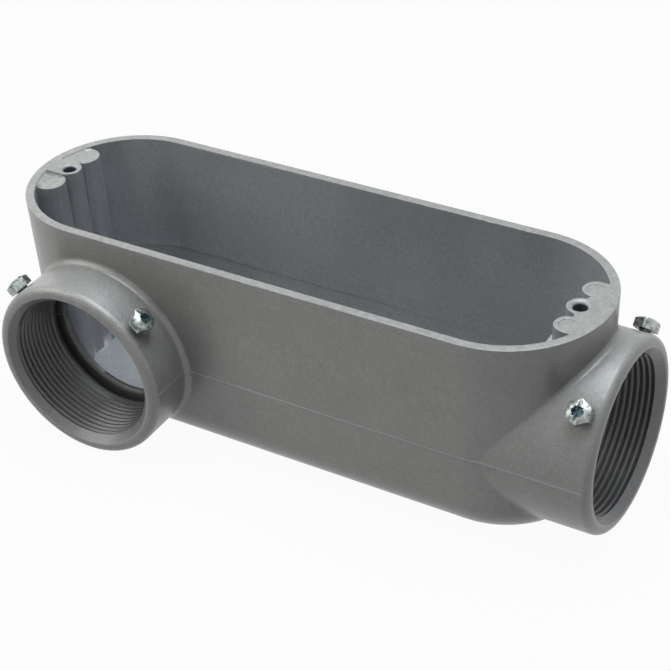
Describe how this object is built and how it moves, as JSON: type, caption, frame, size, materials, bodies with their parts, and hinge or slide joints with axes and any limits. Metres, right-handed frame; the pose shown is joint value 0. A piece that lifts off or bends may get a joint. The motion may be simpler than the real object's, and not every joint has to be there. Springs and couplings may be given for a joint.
{
  "type": "conduit body",
  "caption": "Die-cast conduit body: open stadium-shaped tub with drilled cover bosses, a threaded end hub and a right-hand side hub, each with set screws.",
  "frame": {"origin": "middle of the flat back, between the two rounded ends", "axes": "+X along the tub towards the end hub, the side hub faces -Y, +Z out of the open side where the cover goes"},
  "size_m": [0.2396, 0.0932, 0.0822],
  "materials": {
    "cast_aluminium": "satin",
    "zinc_steel": "satin"
  },
  "bodies": {
    "casting": {"casting": "cast_aluminium"},
    "set_screw_end_right": {"set_screw_end_right": "zinc_steel"},
    "set_screw_end_left": {"set_screw_end_left": "zinc_steel"},
    "set_screw_side_right": {"set_screw_side_right": "zinc_steel"},
    "set_screw_side_left": {"set_screw_side_left": "zinc_steel"}
  },
  "joints": [
    {"name": "set_screw_end_right_travel", "type": "slide", "parent": "casting", "child": "set_screw_end_right", "axis": [0, -0.7193, 0.6947], "range_m": [-0.0019, 0.003]},
    {"name": "set_screw_end_left_travel", "type": "slide", "parent": "casting", "child": "set_screw_end_left", "axis": [0, 0.7193, 0.6947], "range_m": [-0.0011, 0.003]},
    {"name": "set_screw_side_right_travel", "type": "slide", "parent": "casting", "child": "set_screw_side_right", "axis": [0.7193, 0, 0.6947], "range_m": [-0.0023, 0.003]},
    {"name": "set_screw_side_left_travel", "type": "slide", "parent": "casting", "child": "set_screw_side_left", "axis": [-0.7193, 0, 0.6947], "range_m": [-0.0005, 0.003]}
  ]
}
